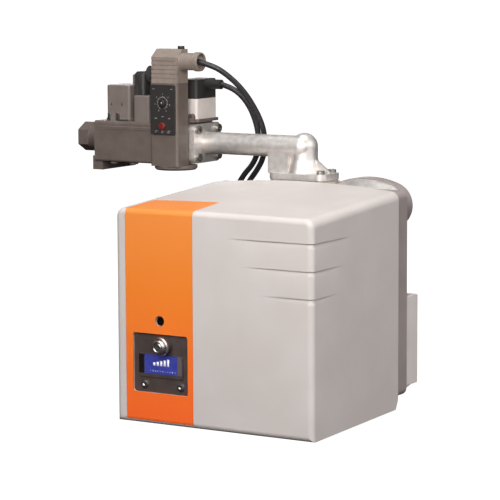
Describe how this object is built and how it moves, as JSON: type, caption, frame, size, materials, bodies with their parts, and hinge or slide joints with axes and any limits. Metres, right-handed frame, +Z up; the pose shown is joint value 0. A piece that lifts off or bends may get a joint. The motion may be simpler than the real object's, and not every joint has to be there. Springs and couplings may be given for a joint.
{
  "type": "gas burner",
  "caption": "Compact forced-draught gas burner: moulded cover with a coloured stripe and control window, cast head, blast tube and a gas valve train on top.",
  "frame": {"origin": "centre of the boiler flange's face on the axis of the blast tube", "axes": "+Y is the firing direction, into the boiler; +Z is up; +X is to the right seen from the cover's front"},
  "size_m": [0.4225, 0.386, 0.3958],
  "materials": {
    "cover_plastic": "satin moulded plastic, light warm grey",
    "stripe_orange": "satin orange plastic",
    "panel_black": "fine-grained black plastic",
    "display_glass": "blue backlit display behind a clear window",
    "chrome": "polished",
    "zinc_steel": "zinc plated",
    "dark_steel": "blackened screws and bearings",
    "casing_grey": "satin dark grey paint",
    "air_box_grey": "light grey plastic",
    "cast_aluminium": "fine shot-blasted casting",
    "valve_grey": "grey die casting",
    "device_black": "black plastic",
    "plug_beige": "grey-beige plastic",
    "switch_grey": "light grey plastic",
    "knob_red": "red plastic",
    "fan_steel": "galvanised sheet",
    "ceramic": "glazed ceramic",
    "brass": "turned brass",
    "gasket_fibre": "pressed mineral fibre",
    "black_rubber": "matt black rubber and cable sheath"
  },
  "bodies": {
    "burner": {"control_panel": "panel_black", "display_window": "display_glass", "panel_screws": "chrome", "control_carrier": "zinc_steel", "control_box": "device_black", "ignition_transformer": "device_black", "air_pressure_switch": "switch_grey", "casing": "casing_grey", "cable_grommet": "black_rubber", "scroll_housing": "cast_aluminium", "motor_housing": "cast_aluminium", "motor_end_bell": "cast_aluminium", "motor_bearings": "dark_steel", "capacitor": "switch_grey", "air_box": "air_box_grey", "intake_grille": "device_black", "damper_servo": "device_black", "head_casting": "cast_aluminium", "head_band": "casing_grey", "blast_tube": "fan_steel", "boiler_flange": "cast_aluminium", "flange_gasket": "gasket_fibre", "clamp_screw": "zinc_steel", "adjusting_yoke": "zinc_steel", "elbow_seal": "gasket_fibre", "gas_elbow": "cast_aluminium", "train_screws": "zinc_steel", "valve_body": "valve_grey", "adjusting_panel": "device_black", "valve_screws": "zinc_steel", "bottom_cap": "valve_grey", "coil_cover_large": "valve_grey", "coil_cover_small": "valve_grey", "coil_connector": "device_black", "inlet_union": "valve_grey", "appliance_plug": "plug_beige", "plug_gland": "plug_beige", "pressure_switch_base": "valve_grey", "pressure_switch_case": "switch_grey", "pressure_switch_cap": "device_black", "cable_plug": "black_rubber", "cable_switch": "black_rubber"},
    "cover": {"cover_shell": "cover_plastic", "cover_stripe": "stripe_orange"},
    "cover_screw": {"cover_screw": "dark_steel"},
    "reset_button": {"reset_button": "chrome"},
    "fan": {"fan_wheel": "fan_steel", "motor_shaft": "zinc_steel"},
    "damper": {"damper_flap": "fan_steel", "damper_shaft": "zinc_steel", "damper_dial": "switch_grey"},
    "adjuster": {"adjusting_screw": "brass"},
    "lance": {"gas_lance": "zinc_steel", "gas_nozzle": "brass", "deflector_disc": "fan_steel", "electrode_ceramics": "ceramic", "electrode_rods": "dark_steel", "electrode_clamp": "zinc_steel"},
    "flow_dial": {"flow_dial": "valve_grey"},
    "pilot_knob": {"pilot_knob": "knob_red"}
  },
  "joints": [
    {"name": "cover_slide", "type": "slide", "parent": "burner", "child": "cover", "axis": [0, -1, 0], "range_m": [0, 0.25]},
    {"name": "cover_screw_turn", "type": "hinge", "parent": "cover", "child": "cover_screw", "pos_m": [-0.052, -0.272, -0.0525], "axis": [0, 1, 0], "continuous": true},
    {"name": "reset_press", "type": "slide", "parent": "burner", "child": "reset_button", "axis": [0, 1, 0], "range_m": [0, 0.003], "stiffness_N_per_m": 900, "springref_m": -0.001},
    {"name": "fan_spin", "type": "hinge", "parent": "burner", "child": "fan", "pos_m": [0.066, -0.1, -0.082], "axis": [0, 1, 0], "continuous": true},
    {"name": "damper_turn", "type": "hinge", "parent": "burner", "child": "damper", "pos_m": [-0.038, -0.055, -0.098], "axis": [0, 1, 0], "range_deg": [0, 90]},
    {"name": "adjuster_turn", "type": "hinge", "parent": "burner", "child": "adjuster", "pos_m": [0, -0.12, 0], "axis": [0, 1, 0], "range_deg": [0, 2880]},
    {"name": "lance_slide", "type": "slide", "parent": "burner", "child": "lance", "axis": [0, 1, 0], "range_m": [0, 0.012]},
    {"name": "flow_dial_turn", "type": "hinge", "parent": "burner", "child": "flow_dial", "pos_m": [-0.149, -0.12, 0.1675], "axis": [0, 1, 0], "range_deg": [-150, 150]},
    {"name": "pilot_knob_turn", "type": "hinge", "parent": "burner", "child": "pilot_knob", "pos_m": [-0.149, -0.12, 0.1415], "axis": [0, 1, 0], "range_deg": [-90, 90]}
  ],
  "couplings": [
    {"joint": "adjuster_turn", "follows": "lance_slide", "rad_per_m": 4188.8}
  ]
}
